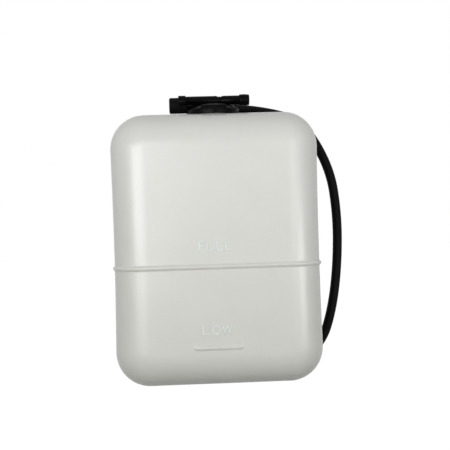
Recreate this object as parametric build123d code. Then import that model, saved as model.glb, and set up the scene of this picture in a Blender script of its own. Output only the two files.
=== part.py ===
"""Coolant overflow tank: blow-moulded tank, push-in cap with its pipes, seal, dip tube and hose.

Millimetres. X runs across the front to the right, Y to the back and Z up.
The origin is in the middle of the base.
"""
import os
from math import radians, sqrt, tan

from build123d import *

# Tank
tank_width = 190.0
tank_depth = 84.0
tank_height = 246.0
tank_wall = 2.2
corner_radius = 32.0          # corners of the front outline
front_edge_radius = 30.0
back_edge_radius = 14.0
side_sink = 1.7               # how far each side wall is drawn in half way up

# Level marks
bead_proud = 1.8
full_bead_height = 107.6      # of its centre line above the base
full_bead_width = 4.6
low_bar_height = 36.0
low_bar_offset = -2.5         # of its middle, to the right of the tank's
low_bar_length = 44.6
low_bar_width = 4.6
low_bar_proud = 1.4
bead_round = 1.3              # rounding of the crests

# Base, pushed up in the middle so that the tank stands on its rim
base_rim = 8.0
base_push = 1.5
pinch_width = 1.2             # line where the tube of plastic was pinched shut
pinch_height = 0.8

# Filler neck
neck_offset = 1.2             # of the neck's axis to the right of the middle
neck_back = 8.0               # of the neck's axis behind the middle
neck_bore = 37.0
neck_wall = 3.0
neck_height = 2.8             # of the rim above the tank's top

# Cap
cap_diameter = 49.0
skirt_wall = 2.3
skirt_gap = 0.4               # between the skirt and the tank's top
shoulder_height = 5.4         # of the skirt's upper edge above the tank's top
shoulder_round = 2.0
skirt_round = 0.5
dome_rise = 6.6
dome_wall = 2.4
plug_clearance = 0.4          # between the plug and the neck's bore
plug_wall = 2.2
plug_depth = 7.0              # below the tank's top
tab_width = 22.8
tab_front = 22.6              # from the cap's axis to the tab's front face
tab_height = 8.6              # of the tab's top above the tank's top
tab_round = 1.6

# Rubber ring between the cap and the rim
seal_thickness = 1.4
seal_clearance = 0.3

# Cross pipe along X, on top of the cap
pipe_height = 14.3            # of its axis above the tank's top
pipe_diameter = 8.6
pipe_bore = 4.0
pipe_left = 32.0              # from the cap's axis to the left end
pipe_right = 34.0
left_bead_diameter = 10.4
left_bead_length = 6.8
right_bead_diameter = 10.6
right_bead_length = 9.3
right_bead_rise = 2.4         # slope from the root of the right bead up to its land
right_bead_land = 3.2         # straight part of the right bead, before its taper to the tip
right_root_diameter = 10.2
right_tip_diameter = 9.8
bead_edge_round = 0.5
notch_place = 6.4             # of the gate notch, right of the cap's axis
notch_width = 6.0
notch_depth = 1.3
fin_width = 0.8
vent_bore = 3.4               # from the cross pipe down into the cap

# Hose spigot at the rear right
spigot_turn = 36.0            # degrees from +X towards +Y
spigot_height = 7.6           # of its axis above the tank's top
spigot_bore = 3.2
spigot_length = 15.5          # inside the hose
spigot_collar = 8.6
hose_stop = 25.4              # from the cap's axis to the collar's face

# Spare spigot at the rear left, and the rubber cap that closes it
spare_back = 13.0             # of its axis behind the cap's axis
spare_height = 11.6
spare_diameter = 8.0
spare_bore = 4.4
spare_root = 6.0              # of its closed end left of the cap's axis
spare_tip = 37.7
blank_diameter = 15.0
blank_end = 40.4              # of the rubber cap's outer end
blank_mouth = 23.2
blank_end_wall = 2.4
blank_round = 1.6

# Dip tube, on a nipple under the cap
nipple_place = 11.5           # from the cap's axis, on the side of the hose spigot
nipple_boss = 9.4
nipple_boss_bottom = 3.0      # above the tank's top
nipple_bottom = 6.0           # below the tank's top
dip_diameter = 8.4
dip_bottom = 12.0             # above the base

# Hose
hose_diameter = 9.0
hose_bore = 6.0
push_clearance = 0.05         # between a spigot and the rubber or plastic pushed on it
hose_bend_share = 0.45        # of the shorter run beside a corner that the bend takes up

# Hose route: straight out of the spigot, then round to the right, down beside the tank
# and along the floor behind it
hose_first_run = 35.0
hose_route_after_spigot = [
    (90.2, 51.0, 242.8),
    (116.0, 52.0, 197.5),
    (122.0, 52.5, 152.0),
    (121.0, 53.0, 106.0),
    (115.0, 53.0, 62.0),
    (103.5, 53.5, 26.0),
    (74.5, 55.5, 4.7),
    (38.5, 59.5, 4.7),
    (4.5, 61.5, 4.7),
    (-27.5, 60.0, 4.7),
]


def tank_form(inset):
    """The tank's rounded form, drawn in by inset on every side. A negative inset grows it."""
    half = tank_width / 2 - inset
    low = inset
    high = tank_height - inset
    middle = tank_height / 2
    outline = make_face([
        Line((-half, low), (half, low)),
        ThreePointArc((half, low), (half - side_sink, middle), (half, high)),
        Line((half, high), (-half, high)),
        ThreePointArc((-half, high), (-half + side_sink, middle), (-half, low)),
    ])
    outline = fillet(outline.vertices(), corner_radius - inset)
    back = tank_depth / 2 - inset
    form = extrude(Plane.XZ.offset(-back) * outline, tank_depth - 2 * inset)
    form = fillet(form.faces().sort_by(Axis.Y)[0].edges(), front_edge_radius - inset)
    return fillet(form.faces().sort_by(Axis.Y)[-1].edges(), back_edge_radius - inset)


def upright(radius, bottom, top):
    """Cylinder about Z between two heights."""
    return Pos(0, 0, bottom) * Cylinder(radius, top - bottom, align=(Align.CENTER, Align.CENTER, Align.MIN))


def along_x(radius, left, right):
    """Cylinder along X between two places."""
    turn = Rot(0, 90, 0)
    return Pos(left, 0, 0) * turn * Cylinder(radius, right - left, align=(Align.CENTER, Align.CENTER, Align.MIN))


def turned(points):
    """Solid turned about Z from a closed outline of (radius, height) points."""
    return revolve(Plane.XZ * make_face(Polyline(points, close=True)), Axis.Z)


def dome_solid(radius, bottom, base, rise):
    """Solid under a shallow spherical dome that stands on a cylinder."""
    sphere = (radius**2 + rise**2) / (2 * rise)
    centre = base + rise - sphere
    half_way = (radius / 2, centre + sqrt(sphere**2 - (radius / 2) ** 2))
    section = make_face([
        Line((0, bottom), (radius, bottom)),
        Line((radius, bottom), (radius, base)),
        ThreePointArc((radius, base), half_way, (0, base + rise)),
        Line((0, base + rise), (0, bottom)),
    ])
    return revolve(Plane.XZ * section, Axis.Z)


def make_tank():
    """Hollow tank with its neck, level marks and pushed-up base."""
    slab = Pos(0, 0, full_bead_height) * Box(2 * tank_width, 2 * tank_depth, full_bead_width)
    full_bead = tank_form(-bead_proud) & slab
    crests = full_bead.faces().sort_by(Axis.Z)
    full_bead = fillet(crests[0].edges() + crests[-1].edges(), bead_round)

    front = Plane.XZ.offset(tank_depth / 2 - tank_wall / 2)
    low_bar = extrude(front * SlotOverall(low_bar_length, low_bar_width), tank_wall / 2 + low_bar_proud)
    low_bar = fillet(low_bar.faces().sort_by(Axis.Y)[0].edges(), bead_round)
    low_bar = Pos(low_bar_offset, 0, low_bar_height) * low_bar

    base_back = tank_depth / 2 - back_edge_radius - base_rim
    base_front = tank_depth / 2 - front_edge_radius - base_rim
    base_length = tank_width - 2 * corner_radius - 2 * base_rim
    push = SlotOverall(base_length, base_back + base_front)
    push = Pos(0, (base_back - base_front) / 2, 0) * extrude(push, base_push)
    pinch = Pos(0, (base_back - base_front) / 2, base_push - pinch_height / 2)
    pinch *= Box(base_length - base_back - base_front, pinch_width, pinch_height)

    neck_radius = neck_bore / 2
    neck = Pos(neck_offset, neck_back, 0) * upright(
        neck_radius + neck_wall, tank_height - tank_wall / 2, tank_height + neck_height
    )
    bore = Pos(neck_offset, neck_back, 0) * upright(
        neck_radius, tank_height - 2 * tank_wall, tank_height + neck_height
    )
    inside = tank_form(tank_wall) - Pos(0, 0, tank_wall) * push
    return tank_form(0) + full_bead + low_bar + neck - push + pinch - inside - bore


plug_radius = neck_bore / 2 - plug_clearance
skirt_inside = cap_diameter / 2 - skirt_wall
ceiling = neck_height + seal_thickness
on_tank = Pos(neck_offset, neck_back, tank_height)
spigot_line = Rot(0, 0, spigot_turn)
nipple_line = spigot_line * Pos(nipple_place, 0, 0)
push_on_radius = hose_bore / 2 - push_clearance


def make_cross_pipe():
    """Cross pipe along X about its own axis: beads at the open ends, and the gate notch with its fin."""
    tube = along_x(pipe_diameter / 2, 1 - pipe_left, pipe_right - 1)
    left_bead = along_x(left_bead_diameter / 2, -pipe_left, left_bead_length - pipe_left)
    left_bead = fillet(left_bead.edges().filter_by(GeomType.CIRCLE), bead_edge_round)
    root = pipe_right - right_bead_length
    land_start = root + right_bead_rise
    taper_start = land_start + right_bead_land
    right_bead = turned([
        (0, root), (right_root_diameter / 2, root), (right_bead_diameter / 2, land_start),
        (right_bead_diameter / 2, taper_start), (right_tip_diameter / 2, pipe_right), (0, pipe_right),
    ])
    rims = right_bead.edges().filter_by(GeomType.CIRCLE).sort_by(Axis.Z)
    right_bead = Rot(0, 90, 0) * fillet([rims[0], rims[-1]], bead_edge_round)
    radius = pipe_diameter / 2
    notch = turned([
        (radius - notch_depth, 0), (radius, -notch_width / 2), (radius + notch_depth, -notch_width / 2),
        (radius + notch_depth, notch_width / 2), (radius, notch_width / 2),
    ])
    notch = Pos(notch_place, 0, 0) * Rot(0, 90, 0) * notch
    fin = along_x(radius - notch_depth / 3, notch_place - fin_width / 2, notch_place + fin_width / 2)
    return tube + left_bead + right_bead - notch + fin


def make_cap():
    """Cap about its own axis, with heights from the tank's top."""
    radius = cap_diameter / 2
    shell = dome_solid(radius, skirt_gap, shoulder_height, dome_rise)
    shoulder = shell.edges().filter_by(Plane.XY).sort_by(Axis.Z)[-1]
    shell = fillet(shoulder, shoulder_round)
    shell = fillet(shell.edges().filter_by(GeomType.CIRCLE).sort_by(Axis.Z)[0], skirt_round)

    tab = Pos(0, -tab_front / 2, (shoulder_height + tab_height) / 2)
    tab *= Box(tab_width, tab_front, tab_height - shoulder_height)
    tab = fillet(tab.edges().group_by(Axis.Z)[-1] + tab.edges().filter_by(Axis.Z), tab_round)

    at_spigot = spigot_line * Pos(0, 0, spigot_height)
    duct = at_spigot * along_x(spigot_collar / 2, nipple_place, hose_stop)
    spigot = at_spigot * along_x(push_on_radius, hose_stop, hose_stop + spigot_length)

    at_spare = Pos(0, spare_back, spare_height)
    spare = at_spare * along_x(spare_diameter / 2, -spare_tip, -spare_root)
    spare_end = at_spare * Pos(-spare_root, 0, 0) * Sphere(spare_diameter / 2)

    skirt_room = upright(skirt_inside, -plug_depth, ceiling) - upright(plug_radius, -plug_depth, ceiling)
    plug = upright(plug_radius, -plug_depth, ceiling)
    cavity_radius = plug_radius - plug_wall
    dome_inside = dome_solid(radius, -plug_depth, shoulder_height - dome_wall, dome_rise)
    cavity = dome_inside & upright(cavity_radius, -plug_depth, shoulder_height + dome_rise)
    cap = shell + tab + duct + spigot + spare + spare_end - skirt_room + plug - cavity

    boss = nipple_line * upright(nipple_boss / 2, nipple_boss_bottom, shoulder_height + dome_wall)
    nipple = nipple_line * upright(push_on_radius, -nipple_bottom, nipple_boss_bottom)
    pipe_place = Pos(0, 0, pipe_height)
    cap = cap + boss + nipple + pipe_place * make_cross_pipe()

    pipe_run = pipe_place * along_x(pipe_bore / 2, -pipe_left, pipe_right)
    vent = upright(vent_bore / 2, shoulder_height, pipe_height)
    spigot_run = at_spigot * along_x(spigot_bore / 2, nipple_place, hose_stop + spigot_length)
    nipple_run = nipple_line * upright(spigot_bore / 2, -nipple_bottom, spigot_height)
    spare_run = at_spare * along_x(spare_bore / 2, -spare_tip, -spare_root)
    spare_drop = Pos(-spare_root, spare_back, 0) * upright(spare_bore / 2, shoulder_height, spare_height)
    return on_tank * (cap - pipe_run - vent - spigot_run - nipple_run - spare_run - spare_drop)


def make_seal():
    """Flat ring on the rim of the neck, under the cap's ceiling."""
    outside = upright(skirt_inside - seal_clearance, neck_height, ceiling)
    return on_tank * (outside - upright(plug_radius + seal_clearance, neck_height, ceiling))


def make_dip_tube():
    """Tube from the nipple's boss to just above the floor of the tank."""
    top = nipple_boss_bottom
    tube = upright(dip_diameter / 2, dip_bottom - tank_height, top)
    tube -= upright(hose_bore / 2, dip_bottom - tank_height, top)
    return on_tank * nipple_line * tube


def make_blanking_cap():
    """Rubber cap over the spare spigot, open towards the cap's middle."""
    body = along_x(blank_diameter / 2, -blank_end, -blank_mouth)
    body = fillet(body.faces().sort_by(Axis.X)[0].edges(), blank_round)
    body -= along_x(spare_diameter / 2 + push_clearance, blank_end_wall - blank_end, -blank_mouth)
    return on_tank * Pos(0, spare_back, spare_height) * body


def make_hose():
    """Hose along its route, with every bend as wide as the runs beside it allow."""
    spigot_ends = (hose_stop, hose_stop + hose_first_run)
    route = [(on_tank * spigot_line * Pos(end, 0, spigot_height)).position for end in spigot_ends]
    route += [Vector(*point) for point in hose_route_after_spigot]
    runs = [after - before for before, after in zip(route, route[1:])]
    radii = []
    for run, next_run in zip(runs, runs[1:]):
        half_turn = radians(run.get_angle(next_run)) / 2
        radii.append(hose_bend_share * min(run.length, next_run.length) / tan(half_turn))
    path = FilletPolyline(*route, radius=radii)
    section = Circle(hose_diameter / 2) - Circle(hose_bore / 2)
    hose = sweep(Plane(origin=path @ 0, z_dir=path % 0) * section, path=path)
    print("hose runs", [round(run.length, 1) for run in runs])
    print("hose radii", [round(radius, 1) for radius in radii])
    print("hose length", round(path.length, 2), "volume", round(hose.volume, 1),
          "section times length", round(section.area * path.length, 1))
    return hose


pieces = {
    "tank_body": make_tank(),
    "cap": make_cap(),
    "cap_seal": make_seal(),
    "dip_tube": make_dip_tube(),
    "blanking_cap": make_blanking_cap(),
    "hose": make_hose(),
}
os.makedirs("parts", exist_ok=True)
for name, piece in pieces.items():
    export_step(piece, f"parts/{name}.step")
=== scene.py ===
from math import radians

import bmesh
import bpy
import numpy as np
from mathutils import Euler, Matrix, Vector


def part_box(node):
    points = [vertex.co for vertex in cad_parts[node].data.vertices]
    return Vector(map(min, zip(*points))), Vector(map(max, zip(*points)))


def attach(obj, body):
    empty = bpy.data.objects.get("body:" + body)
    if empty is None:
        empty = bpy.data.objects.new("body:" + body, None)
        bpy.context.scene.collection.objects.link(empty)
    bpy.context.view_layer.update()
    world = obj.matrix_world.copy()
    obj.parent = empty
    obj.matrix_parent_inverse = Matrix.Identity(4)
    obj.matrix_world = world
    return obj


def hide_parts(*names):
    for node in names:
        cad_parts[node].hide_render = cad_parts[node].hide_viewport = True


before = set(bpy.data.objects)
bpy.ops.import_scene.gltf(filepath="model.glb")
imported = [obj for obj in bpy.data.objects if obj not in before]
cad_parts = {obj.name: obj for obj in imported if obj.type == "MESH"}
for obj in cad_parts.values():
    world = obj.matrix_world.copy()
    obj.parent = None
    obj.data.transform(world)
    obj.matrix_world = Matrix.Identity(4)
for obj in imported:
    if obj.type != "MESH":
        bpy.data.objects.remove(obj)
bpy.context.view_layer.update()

# Tank: one blow-moulded skin of milky polyethylene, with its low filler neck, the FULL bead all
# round, the LOW bar on the front and a pushed-up base. It stands on the flat rim of that base.
MM = 0.001
tank_width = 190 * MM
tank_depth = 84 * MM
tank_height = 246 * MM
tank_wall = 2.2 * MM
corner_radius = 32 * MM
front_edge_radius = 30 * MM
back_edge_radius = 14 * MM
side_sink = 1.7 * MM
tank_middle = (front_edge_radius - back_edge_radius) / 2    # y half way across the flat base
tank_front = -tank_depth / 2

full_height = 107.6 * MM
full_half_width = 2.9 * MM
full_proud = 1.8 * MM
low_height = 36 * MM
low_middle = -2.5 * MM
low_half_length = 22.3 * MM
low_half_width = 2.9 * MM
low_proud = 1.0 * MM
low_flat = 0.3                 # share of the bar's width that is flat
seam_half_width = 0.9 * MM
seam_proud = 0.35 * MM
wall_waver = 0.16 * MM         # how far the blown walls stray from their form

neck_place = np.array([1.2 * MM, 8 * MM])
neck_radius = 21.5 * MM
neck_bore = 18.5 * MM
neck_root = 1.4 * MM
neck_rim = float(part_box("tank_body")[1][2])
base_push = 1.5 * MM
base_rim = 8 * MM
base_slope = 2 * MM


def form_distance(x, y, z):
    """How far a point lies outside the tank's plain form, negative inside.

    The front outline is a rectangle with round corners, whose sides are drawn in half way up along
    a parabola. It is carried through the depth, and a ball rolled along its front and back edges
    rounds them, so the distance is that to a rounded corner in the plane of outline and depth.
    """
    up = z - tank_height / 2
    half = tank_width / 2 - side_sink * (1 - (2 * up / tank_height) ** 2)
    across = np.abs(x) - (half - corner_radius)
    along = np.abs(up) - (tank_height / 2 - corner_radius)
    outline = np.hypot(np.maximum(across, 0), np.maximum(along, 0))
    outline = outline + np.minimum(np.maximum(across, along), 0) - corner_radius
    in_front = y < tank_middle
    edge = np.where(in_front, front_edge_radius, back_edge_radius)
    behind = np.where(in_front, -y, y) - (tank_depth / 2 - edge)
    inward = outline + edge
    corner = np.hypot(np.maximum(inward, 0), np.maximum(behind, 0))
    return corner + np.minimum(np.maximum(inward, behind), 0) - edge


def crest(offset):
    """A rounded ridge one high: half a cosine wave from -1 to 1, and flat outside."""
    return np.where(np.abs(offset) < 1, 0.5 + 0.5 * np.cos(np.pi * np.clip(offset, -1, 1)), 0)


def raised(x, y, z):
    """Height of what stands on the plain form: the FULL bead, the LOW bar and the mould's parting line,
    each a crest across its own line, and a slow waver of two sine waves that blown walls have."""
    bead = full_proud * crest((z - full_height) / full_half_width)
    past_end = np.maximum(np.abs(x - low_middle) - (low_half_length - low_half_width), 0)
    from_bar = np.hypot(past_end, z - low_height) / low_half_width
    bar = np.where(y < 0, low_proud * crest(np.maximum(from_bar - low_flat, 0) / (1 - low_flat)), 0)
    seam = seam_proud * crest((y - tank_middle) / seam_half_width)
    waver = np.sin(x / (17 * MM) + 1.1) * np.sin(z / (23 * MM) + 0.4) + np.sin(y / (13 * MM) + z / (31 * MM))
    return np.maximum(np.maximum(bead, bar), seam) + wall_waver * 0.5 * waver


def halve(outside, near, far, steps=40):
    """The distance at which outside(distance) turns true, found by halving the interval in which it lies."""
    for _ in range(steps):
        middle = (near + far) / 2
        out = outside(middle)
        near, far = np.where(out, near, middle), np.where(out, middle, far)
    return (near + far) / 2


def wall_rows(angles, heights, inset, marks):
    """Rows of the wall: at each height, rays leave the upright middle axis and stop at the skin."""
    turn, z = np.meshgrid(angles, heights)

    def outside(reach):
        x, y = reach * np.cos(turn), tank_middle + reach * np.sin(turn)
        return form_distance(x, y, z) + inset - marks * raised(x, y, z) > 1e-9
    reach = halve(outside, np.zeros_like(turn), np.full_like(turn, tank_width))
    return np.stack([reach * np.cos(turn), tank_middle + reach * np.sin(turn), z], axis=-1)


def top_rows(rim_row, inner_circle, shares, inset, marks):
    """Rows of the top: points go from a wall row to a circle round the neck, and upright rays give
    their height."""
    share = np.asarray(shares)[:, None, None]
    flat = (1 - share) * rim_row[None, :, :2] + share * inner_circle[None, :, :]
    x, y = flat[..., 0], flat[..., 1]

    def outside(z):
        return form_distance(x, y, z) + inset - marks * raised(x, y, z) > 1e-9
    z = halve(outside, np.full_like(x, tank_height / 2), np.full_like(x, tank_height + 9 * MM))
    return np.dstack([x, y, z])


def skin_mesh(name, rows):
    """Closed skin from rows of points that run round a form, with the first and last row drawn to one point."""
    count, around = rows.shape[:2]
    points = np.concatenate([rows[:1].mean(axis=1), rows[1:-1].reshape(-1, 3), rows[-1:].mean(axis=1)])
    ring = np.arange(around)
    after = (ring + 1) % around
    starts = 1 + around * np.arange(count - 3)[:, None]
    quads = np.stack([starts + ring, starts + after, starts + around + after, starts + around + ring], axis=-1)
    last, last_ring = len(points) - 1, len(points) - 1 - around
    first_fan = np.stack([np.zeros(around, int), 1 + after, 1 + ring], axis=-1)
    last_fan = np.stack([np.full(around, last), last_ring + ring, last_ring + after], axis=-1)
    corners = np.concatenate([first_fan.ravel(), quads.ravel(), last_fan.ravel()])
    sizes = np.concatenate([np.full(around, 3), np.full(quads.size // 4, 4), np.full(around, 3)])
    mesh = bpy.data.meshes.new(name)
    mesh.vertices.add(len(points))
    mesh.vertices.foreach_set("co", points.ravel())
    mesh.loops.add(len(corners))
    mesh.loops.foreach_set("vertex_index", corners.astype(np.int32))
    mesh.polygons.add(len(sizes))
    mesh.polygons.foreach_set("loop_start", (np.cumsum(sizes) - sizes).astype(np.int32))
    mesh.polygons.foreach_set("use_smooth", np.ones(len(sizes), bool))
    mesh.update(calc_edges=True)
    mesh.validate()
    return mesh


def new_piece(name, mesh, body, slot, *nodes):
    """Object for a mesh that rides on a body and stands for its solids, if any are named, which are hidden.
    The slot is not used."""
    piece = bpy.data.objects.new(name, mesh)
    bpy.context.scene.collection.objects.link(piece)
    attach(piece, body)
    if nodes:
        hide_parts(*nodes)
    return piece


# columns: even steps round the middle of the tank, finer over the LOW bar and at the parting line
even = np.linspace(0, 2 * np.pi, 3000, endpoint=False)
middle_row = wall_rows(even, [tank_height * 0.6], 0, 0)[0]
path = np.concatenate([[0], np.cumsum(np.linalg.norm(np.diff(middle_row[:, :2], axis=0), axis=1))])
steps = np.interp(np.linspace(0, path[-1], 236, endpoint=False), path, even)
over_bar = np.arctan2(tank_front - tank_middle, low_middle + np.linspace(-25 * MM, 25 * MM, 84)) % (2 * np.pi)
at_seam = np.linspace(-1.2 * MM, 1.2 * MM, 9) / (tank_width / 2)
steps = steps[np.abs(np.interp(steps, even, middle_row[:, 0])) > 28 * MM]
behind_steps = np.arctan2(tank_depth / 2 - tank_middle, np.linspace(-26 * MM, 26 * MM, 22)) % (2 * np.pi)
angles = np.unique(np.round(np.concatenate([
    steps, over_bar, behind_steps, at_seam % (2 * np.pi), np.pi + at_seam]) % (2 * np.pi), 6))

bend = 1 - np.cos(np.linspace(0, np.pi / 2, 17))
wall_top = tank_height - 7 * MM
heights = np.concatenate([
    front_edge_radius * bend, np.linspace(32 * MM, 214 * MM, 54),
    low_height + np.linspace(-3.2, 3.2, 21) * MM, full_height + np.linspace(-3.2, 3.2, 27) * MM,
    tank_height - front_edge_radius * bend])
heights = np.unique(np.round(heights[heights < wall_top], 5))
heights = np.append(heights, wall_top)

base_edge = wall_rows(angles, [0.0], 0, 0)[0]
shares = np.linspace(0, 0.97, 18)[:, None, None]
centre = np.array([0, tank_middle, 0])
base = centre + shares * (base_edge[None] - centre)
push_length = tank_width / 2 - corner_radius - base_rim
push_width = (tank_depth - front_edge_radius - back_edge_radius) / 2 - base_rim
past = np.maximum(np.abs(base[..., 0]) - (push_length - push_width), 0)
from_edge = push_width - np.hypot(past, base[..., 1] - tank_middle)
slope = np.clip(from_edge / base_slope, 0, 1)
base[..., 2] = base_push * slope ** 2 * (3 - 2 * slope)

round_neck = np.stack([np.cos(angles), np.sin(angles)], axis=-1)
walls = wall_rows(angles, heights, 0, 1)
top = top_rows(walls[-1], neck_place + (neck_radius + neck_root) * round_neck, np.linspace(0.07, 1, 15), 0, 1)
quarter = np.linspace(0, np.pi / 2, 6)[1:]


def neck_row(radius, z):
    """A ring of the neck, at one height or at a height for each column."""
    return np.column_stack([neck_place + radius * round_neck, np.broadcast_to(z, len(angles))])


root = [neck_row(neck_radius + neck_root * (1 - np.sin(q)), top[-1, :, 2] + neck_root * (1 - np.cos(q)))
        for q in quarter]
lip = 0.6 * MM
rim = [neck_row(neck_radius - lip * (1 - np.cos(q)), neck_rim - lip * (1 - np.sin(q))) for q in quarter]
mouth = [neck_row(neck_bore + lip * (1 - np.sin(q)), neck_rim - lip * (1 - np.cos(q))) for q in quarter]
inner_top_rim = wall_rows(angles, [wall_top - tank_wall], tank_wall, 0)
inner_circle = neck_place + neck_bore * round_neck
inner_top = top_rows(inner_top_rim[0], inner_circle, np.linspace(1, 0.1, 9), tank_wall, 0)
bore = [neck_row(neck_bore, neck_rim - depth * MM) for depth in (1.6, 2.6, 3.6)]
inner_heights = np.concatenate([
    tank_height - tank_wall - front_edge_radius * bend[7:], np.linspace(200 * MM, 40 * MM, 14),
    tank_wall + base_push + front_edge_radius * bend[::-1]])
inner_heights = inner_heights[inner_heights < wall_top - 2 * tank_wall]
inner_walls = wall_rows(angles, inner_heights, tank_wall, 0)
inner_floor = np.array([0, tank_middle, inner_heights[-1]]) * np.ones((1, len(angles), 1))
inner_floor = np.concatenate([inner_floor + k * (inner_walls[-1:] - inner_floor) for k in (0.75, 0.4, 0.0)])
tank_rows = np.concatenate([
    base, walls, top, np.array(root), np.array(rim), np.array(mouth), np.array(bore), inner_top,
    inner_top_rim, inner_walls, inner_floor])
tank = new_piece("tank_skin", skin_mesh("tank_skin", tank_rows), "tank", "tank_plastic", "tank_body")


class Value:
    """A socket of a node tree, which adds Math nodes to that tree when it is added, multiplied and so on."""

    def __init__(self, tree, socket):
        self.tree = tree
        self.socket = socket

    def math(self, operation, first, second):
        return self.tree.node("ShaderNodeMath", {"operation": operation}, {0: first, 1: second})

    def __add__(self, other):
        return self.math("ADD", self, other)

    def __mul__(self, other):
        return self.math("MULTIPLY", self, other)

    def most(self, other):
        """The larger of two values."""
        return self.math("MAXIMUM", self, other)

    __radd__ = __add__
    __rmul__ = __mul__


class NodeTree:
    """The nodes of a material or of the world."""

    def __init__(self, tree):
        self.nodes = tree.nodes
        self.links = tree.links

    def node(self, kind, settings=None, inputs=None, result=0):
        """Adds a node of a kind: its settings first, then the values or links of its sockets."""
        made = self.nodes.new(kind)
        for key, value in (settings or {}).items():
            setattr(made, key, value)
        for key, value in (inputs or {}).items():
            if isinstance(value, Value):
                self.links.new(value.socket, made.inputs[key])
            else:
                made.inputs[key].default_value = value
        return Value(self, made.outputs[result])

    def link(self, value, socket):
        """Links a value that changes to a socket."""
        self.links.new(value.socket, socket)


class Finish(NodeTree):
    """A material with one shader: what is the same all over is set on its sockets, and what changes is
    linked."""

    def __init__(self, name, **settings):
        self.material = bpy.data.materials.new(name)
        self.material.use_nodes = True
        super().__init__(self.material.node_tree)
        self.shader = self.nodes["Principled BSDF"]
        for socket, value in settings.items():
            self.shader.inputs[socket.replace("_", " ")].default_value = value

    def spots(self, scale, detail=3.0, stretch=(1, 1, 1), where="Object"):
        """Soft noise over the piece, from 0 to 1, with its scale in spots per metre, drawn out by stretch."""
        place = self.node("ShaderNodeTexCoord", result=where)
        place = self.node("ShaderNodeMapping", inputs={"Vector": place, "Scale": stretch})
        return self.node("ShaderNodeTexNoise", inputs={"Vector": place, "Scale": scale, "Detail": detail})

    def mixed(self, share, first, second):
        """A colour between two, by share."""
        return self.node("ShaderNodeMix", {"data_type": "RGBA"},
                         {"Factor": share, 6: (*first, 1), 7: (*second, 1)}, result=2)

    def feed(self, socket, value):
        """Links a value that changes over the surface to the shader."""
        self.link(value, self.shader.inputs[socket])

    def bump(self, height, depth):
        """Lets a height from 0 to 1 stand out of the surface by a depth in metres."""
        relief = {"Height": height, "Distance": depth, "Strength": 1.0}
        self.feed("Normal", self.node("ShaderNodeBump", inputs=relief))


# natural polyethylene lets a little light into it and has a soft sheen, a fine blasted grain and faint
# upright lines from the die that the hot tube of plastic came out of; painted shade makes it darker towards the
# bottom
milky = Finish("milky_polyethylene", Subsurface_Weight=0.25, Subsurface_Radius=(1.0, 0.97, 0.9),
               Subsurface_Scale=6 * MM, IOR=1.5, Specular_IOR_Level=0.65)
cloud = milky.spots(28.0, 2.0)
die_lines = milky.spots(420.0, 2.0, (1, 1, 0.015))
grain = milky.spots(1300.0, 2.0)
place = milky.node("ShaderNodeTexCoord", result="Object")
height_for_painted_shade = milky.node("ShaderNodeSeparateXYZ", inputs={0: place}, result="Z")
speckle = milky.spots(1100.0, 2.0)
# painted shade: the height darkens the base colour towards the bottom, on top of the random tone of cloud and
# speckle
tone_and_painted_shade = 0.16 * cloud + 0.25 * speckle + 2.3 * height_for_painted_shade
milky.feed("Base Color", milky.mixed(tone_and_painted_shade, (0.515, 0.515, 0.483), (0.70, 0.70, 0.675)))
milky.feed("Roughness", 0.24 + 0.04 * cloud + 0.06 * grain)
milky.bump(0.35 * die_lines + 0.65 * grain, 0.08 * MM)
tank.data.materials.append(milky.material)

# Level words: FULL above the bead and LOW above the bar, raised letters of the same moulding. They were cut
# into the mould and polished there, so they shine a little more than the blasted wall round them; their colour
# is painted lighter than the wall's as a painted highlight.
letter_proud = 0.6 * MM
letter_sunk = 0.4 * MM
letter_round = 0.03            # of the strokes' edges, as a share of the letter size
letter_thinned = 0.02
full_letters = [("F", -18.4, -12.4), ("U", -10.7, -3.2), ("L", -2.0, 4.2), ("L", 5.6, 11.4)]
full_span = (121.3 * MM, 130.6 * MM)
low_letters = [("L", -16.6, -10.4), ("O", -8.3, 0.1), ("W", 0.8, 10.4)]
low_span = (47.0 * MM, 55.7 * MM)


polished_with_painted_highlight = Finish("letter_finish_painted_highlight", Subsurface_Weight=0.25, Subsurface_Scale=6 * MM, IOR=1.5)
# painted highlight: the letters' colour is lighter than the wall round them, so that they stand out brighter
polished_with_painted_highlight.feed("Base Color", polished_with_painted_highlight.mixed(polished_with_painted_highlight.spots(28.0), (0.69, 0.69, 0.66), (0.75, 0.75, 0.72)))
polished_with_painted_highlight.feed("Roughness", 0.14 + 0.08 * polished_with_painted_highlight.spots(900.0))


def letter_mesh(letter, left, right, bottom, top):
    """One letter as a mesh: its outline swollen into a round ridge, stretched between its sides and stood
    upright on the tank's front."""
    shape = bpy.data.curves.new(letter, "FONT")
    shape.body = letter
    shape.bevel_depth = letter_round
    shape.bevel_resolution = 3
    shape.offset = -letter_thinned
    shape.resolution_u = 6
    holder = bpy.data.objects.new(letter, shape)
    bpy.context.scene.collection.objects.link(holder)
    mesh = bpy.data.meshes.new_from_object(holder.evaluated_get(bpy.context.evaluated_depsgraph_get()))
    bpy.data.objects.remove(holder)
    bpy.data.curves.remove(shape)
    points = np.empty(len(mesh.vertices) * 3)
    mesh.vertices.foreach_get("co", points)
    points = points.reshape(-1, 3)
    share = (points - points.min(axis=0)) / np.ptp(points, axis=0)
    placed = np.column_stack([
        left + share[:, 0] * (right - left),
        tank_front + letter_sunk - share[:, 2] * (letter_sunk + letter_proud),
        bottom + share[:, 1] * (top - bottom)])
    mesh.vertices.foreach_set("co", placed.ravel())
    return mesh


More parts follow.
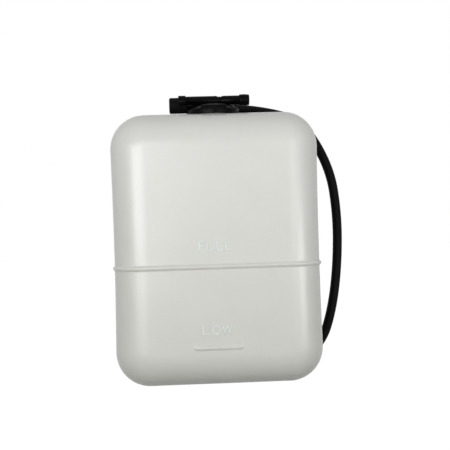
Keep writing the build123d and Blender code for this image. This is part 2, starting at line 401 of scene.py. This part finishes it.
def raised_word(name, letters, span):
    """One mesh for the letters of a word, each given as (letter, left, right) in millimetres."""
    work = bmesh.new()
    for letter, left, right in letters:
        mesh = letter_mesh(letter, left * MM, right * MM, *span)
        work.from_mesh(mesh)
        bpy.data.meshes.remove(mesh)
    word = bpy.data.meshes.new(name)
    work.to_mesh(word)
    work.free()
    word.polygons.foreach_set("use_smooth", np.ones(len(word.polygons), bool))
    word.set_sharp_from_angle(angle=radians(40))
    word.materials.clear()
    word.materials.append(polished_with_painted_highlight.material)
    word.update()
    return new_piece(name, word, "tank", "tank_plastic")


raised_word("level_word_full", full_letters, full_span)
raised_word("level_word_low", low_letters, low_span)


# Cap: one black polypropylene moulding that pushes into the neck, with a thumb tab at its front,
# a cross pipe with beaded ends on top, a hose spigot at the rear right and a spare one at the rear left.
def moulded_copy(node, name, body, slot, sharp_angle):
    """Copy of a solid's mesh with its loose triangles merged, smooth except along edges over an angle."""
    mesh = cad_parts[node].data.copy()
    mesh.name = name
    work = bmesh.new()
    work.from_mesh(mesh)
    bmesh.ops.remove_doubles(work, verts=work.verts, dist=0.002 * MM)
    work.to_mesh(mesh)
    work.free()
    mesh.polygons.foreach_set("use_smooth", np.ones(len(mesh.polygons), bool))
    mesh.set_sharp_from_angle(angle=radians(sharp_angle))
    mesh.materials.clear()
    return new_piece(name, mesh, body, slot, node)


black = Finish("black_polypropylene", IOR=1.5, Specular_IOR_Level=0.05)
smear = black.spots(90.0, 3.0)
texture = black.spots(1900.0, 3.0)
black.feed("Base Color", black.mixed(smear, (0.0012, 0.0012, 0.0015), (0.0032, 0.0032, 0.0036)))
black.feed("Roughness", 0.2 + 0.12 * smear)
black.bump(texture, 0.05 * MM)
cap = moulded_copy("cap", "moulded_cap", "cap", "cap_plastic", 28)
cap.data.materials.append(black.material)

# Seal: a flat ring of soft black rubber, stamped from sheet. It lies under the cap's ceiling and is
# pressed on the rim of the neck when the cap is pushed home.
rubber = Finish("soft_black_rubber", IOR=1.45, Specular_IOR_Level=0.06)
bloom = rubber.spots(140.0, 3.0)
rubber.feed("Base Color", rubber.mixed(bloom, (0.003, 0.003, 0.0035), (0.006, 0.006, 0.0065)))
rubber.feed("Roughness", 0.48 + 0.16 * bloom)
rubber.bump(rubber.spots(2400.0, 2.0), 0.04 * MM)
seal = moulded_copy("cap_seal", "seal_ring", "cap", "black_rubber", 28)
seal.data.materials.append(rubber.material)

# Dip tube: plain natural polyethylene tube, cut to length and pushed on the nipple under the cap.
# It reaches down to near the floor, so that the overflow is drawn back from the bottom.
natural = Finish("natural_tube", Subsurface_Weight=0.2, Subsurface_Scale=3 * MM, IOR=1.5)
natural.feed("Base Color", natural.mixed(natural.spots(60.0), (0.72, 0.72, 0.69), (0.80, 0.80, 0.78)))
natural.feed("Roughness", 0.34 + 0.1 * natural.spots(500.0, 2.0, (1, 1, 0.02)))
dip = moulded_copy("dip_tube", "dip_tube_drawn", "cap", "dip_plastic", 28)
dip.data.materials.append(natural.material)

# Blanking cap: a moulded thimble of black rubber that closes the spare spigot.
# It is stretched over the spigot and holds by its own grip.
blank = moulded_copy("blanking_cap", "rubber_thimble", "cap", "black_rubber", 28)
blank.data.materials.append(rubber.material)

# Hose: extruded black rubber, 9 mm outside and 6 mm inside, pushed over the rear spigot. It hangs
# down beside the tank by its own spring, and its last stretch lies on the floor behind.
hose_radius = 4.5 * MM
hose_bore = 3.0 * MM
hose_start = (21.7490, 22.9297, 253.6)
hose_after_spigot = (50.0646, 43.5022, 253.6)
hose_route = np.array([
    hose_start,
    hose_after_spigot,
    (90.2, 51.0, 242.8),
    (116.0, 52.0, 197.5),
    (122.0, 52.5, 152.0),
    (121.0, 53.0, 106.0),
    (115.0, 53.0, 62.0),
    (103.5, 53.5, 26.0),
    (74.5, 55.5, 4.7),
    (38.5, 59.5, 4.7),
    (4.5, 61.5, 4.7),
    (-27.5, 60.0, 4.7),
]) * MM


def route_line(name, route):
    """Points along the smooth line that a quadratic spline draws with the route as its control points."""
    curve = bpy.data.curves.new(name, "CURVE")
    curve.dimensions = "3D"
    curve.resolution_u = 24
    spline = curve.splines.new("NURBS")
    spline.points.add(len(route) - 1)
    spline.points.foreach_set("co", np.column_stack([route, np.ones(len(route))]).ravel())
    spline.order_u = 3
    spline.use_endpoint_u = True
    holder = bpy.data.objects.new(name, curve)
    bpy.context.scene.collection.objects.link(holder)
    mesh = bpy.data.meshes.new_from_object(holder.evaluated_get(bpy.context.evaluated_depsgraph_get()))
    line = np.empty(len(mesh.vertices) * 3)
    mesh.vertices.foreach_get("co", line)
    bpy.data.objects.remove(holder)
    bpy.data.curves.remove(curve)
    bpy.data.meshes.remove(mesh)
    return line.reshape(-1, 3)


def tube_frames(line):
    """Two directions square to a line at each point: the line's direction crossed with one fixed direction
    that the line never takes, and the line's direction crossed with that."""
    ahead = np.gradient(line, axis=0)
    ahead /= np.linalg.norm(ahead, axis=1)[:, None]
    side = np.cross(ahead, np.array([0.25, 1.0, 0.15]))
    side /= np.linalg.norm(side, axis=1)[:, None]
    return side, np.cross(ahead, side)


def tube_mesh(name, line, outside, inside, around):
    """Hollow tube along a line: a circle outside on the way out, and the bore on the way back."""
    side, up = tube_frames(line)
    turn = np.linspace(0, 2 * np.pi, around, endpoint=False)
    circle = np.cos(turn)[None, :, None] * side[:, None] + np.sin(turn)[None, :, None] * up[:, None]
    soft = 0.35 * MM
    outer = line[:, None] + outside * circle
    inner = line[:, None] + inside * circle
    end_out = line[-1] + (outside - soft) * circle[-1:]
    start_out = line[0] + (outside - soft) * circle[:1]
    outer[-1] += soft * (line[-2] - line[-1]) / np.linalg.norm(line[-2] - line[-1])
    rows = np.concatenate([start_out, outer, end_out, inner[::-1]])
    count = len(rows)
    ring = np.arange(around)
    start = around * np.arange(count)[:, None]
    follow = around * ((np.arange(count) + 1) % count)[:, None]
    after = (ring + 1) % around
    quads = np.stack([start + ring, start + after, follow + after, follow + ring], axis=-1)
    mesh = bpy.data.meshes.new(name)
    mesh.from_pydata(rows.reshape(-1, 3), [], quads.reshape(-1, 4))
    along = np.concatenate([[0], np.cumsum(np.linalg.norm(np.diff(line, axis=0), axis=1))])
    along = np.concatenate([along[:1], along, along[-1:], along[::-1]])
    map_rows = np.stack([np.broadcast_to(turn / (2 * np.pi), (count, around)),
                         np.broadcast_to(along[:, None], (count, around))], axis=-1).reshape(-1, 2)
    corners = np.empty(len(mesh.loops), np.int32)
    mesh.loops.foreach_get("vertex_index", corners)
    mesh.uv_layers.new(name="round_and_along").data.foreach_set("uv", map_rows[corners].ravel())
    mesh.polygons.foreach_set("use_smooth", np.ones(len(mesh.polygons), bool))
    mesh.set_sharp_from_angle(angle=radians(50))
    mesh.update()
    return mesh


hose_line = route_line("hose_line", hose_route)
hose = new_piece("rubber_hose", tube_mesh("rubber_hose", hose_line, hose_radius, hose_bore, 40),
                 "cap", "black_rubber", "hose")
extruded = Finish("extruded_black_rubber", IOR=1.45, Specular_IOR_Level=0.07)
drawn = extruded.spots(60.0, 3.0, (3.0, 0.4, 1), "UV")
haze = extruded.spots(120.0, 3.0)
extruded.feed("Base Color", extruded.mixed(haze, (0.0012, 0.0012, 0.0015), (0.003, 0.003, 0.0034)))
extruded.feed("Roughness", 0.36 + 0.16 * haze + 0.08 * drawn)
extruded.bump(drawn, 0.06 * MM)
hose.data.materials.append(extruded.material)

# Stage: a plain floor that runs back under a white surround. It is white to the camera and in mirrored and
# passing rays, and lights the tank's underside with its own duller colour.
floor_half = 4.0
floor_mesh = bpy.data.meshes.new("floor")
floor_corners = floor_half * np.array([(-1, -1, 0), (1, -1, 0), (1, 1, 0), (-1, 1, 0)])
floor_mesh.from_pydata(floor_corners, [], [(0, 1, 2, 3)])
floor = bpy.data.objects.new("floor", floor_mesh)
bpy.context.scene.collection.objects.link(floor)
paper = Finish("white_paper", Base_Color=(0.28, 0.27, 0.24, 1), Roughness=0.9, Specular_IOR_Level=0.0)
seen = paper.node("ShaderNodeLightPath", result="Is Camera Ray")
mirrored = paper.node("ShaderNodeLightPath", result="Is Glossy Ray")
through = paper.node("ShaderNodeLightPath", result="Is Transmission Ray")
glow = paper.node("ShaderNodeEmission", inputs={"Color": (1, 1, 1, 1), "Strength": 1.25})
bright_share = 0.8
mirrored_share = 0.8
faces_camera = seen.most(mirrored_share * mirrored).most(through)
blend = paper.node("ShaderNodeMixShader", inputs={
    0: bright_share * faces_camera, 1: Value(paper, paper.shader.outputs[0]), 2: glow})
paper.link(blend, paper.nodes["Material Output"].inputs["Surface"])
floor_mesh.materials.append(paper.material)

world = bpy.data.worlds.new("white_room")
world.use_nodes = True
bpy.context.scene.world = world
room_light = 0.329
room_mirrored = 0.85
room = NodeTree(world.node_tree)
room_seen = room.node("ShaderNodeLightPath", result="Is Camera Ray")
room_through = room.node("ShaderNodeLightPath", result="Is Transmission Ray")
room_gleam = room.node("ShaderNodeLightPath", result="Is Glossy Ray")
room_strength = room_light + (room_mirrored - room_light) * room_gleam
background = room.nodes["Background"]
background.inputs["Color"].default_value = (1, 1, 1, 1)
room.link(room_seen.most(room_through).most(room_strength), background.inputs["Strength"])


def soft_box(name, place, aim, width, height, watts):
    """A large soft lamp that looks from its place to a point."""
    lamp = bpy.data.lights.new(name, "AREA")
    lamp.shape = "RECTANGLE"
    lamp.size = width
    lamp.size_y = height
    lamp.energy = watts
    holder = bpy.data.objects.new(name, lamp)
    bpy.context.scene.collection.objects.link(holder)
    holder.location = place
    holder.rotation_euler = (Vector(aim) - holder.location).to_track_quat("-Z", "Y").to_euler()


tank_heart = (0, 0, tank_height / 2)
soft_box("left_front", (-0.26, -0.97, 0.25), tank_heart, 0.4, 0.5, 2.75)
soft_box("left_screen", (-0.56, -0.83, 0.25), tank_heart, 0.9, 0.5, 1.9)
soft_box("left_window", (-0.57, -0.82, 0.2), tank_heart, 0.3, 0.3, 1.6)
soft_box("right_front", (0.42, -0.91, 0.25), tank_heart, 0.4, 0.5, 1.4)
soft_box("right_window", (0.67, -0.74, 0.25), tank_heart, 0.3, 0.5, 0.4)
soft_box("right_low_window", (0.41, -0.33, 0.085), (0.09, 0, 0.07), 0.18, 0.14, 0.42)

# Camera: level with the tank's middle, a metre away and a little to the left, and tilted so that the tank
# leans to the left as photographed.
camera_turn = radians(-3.36)
camera_data = bpy.data.cameras.new("camera")
camera_data.sensor_width = 36.0
camera_data.lens = 86.6
camera = bpy.data.objects.new("camera", camera_data)
bpy.context.scene.collection.objects.link(camera)
camera.rotation_euler = (radians(90), radians(1.76), camera_turn)
camera.location = Euler((0, 0, camera_turn)).to_matrix() @ Vector((8.69 * MM, -1.0, 144.17 * MM))
bpy.context.scene.camera = camera
bpy.context.scene.view_settings.view_transform = "Standard"
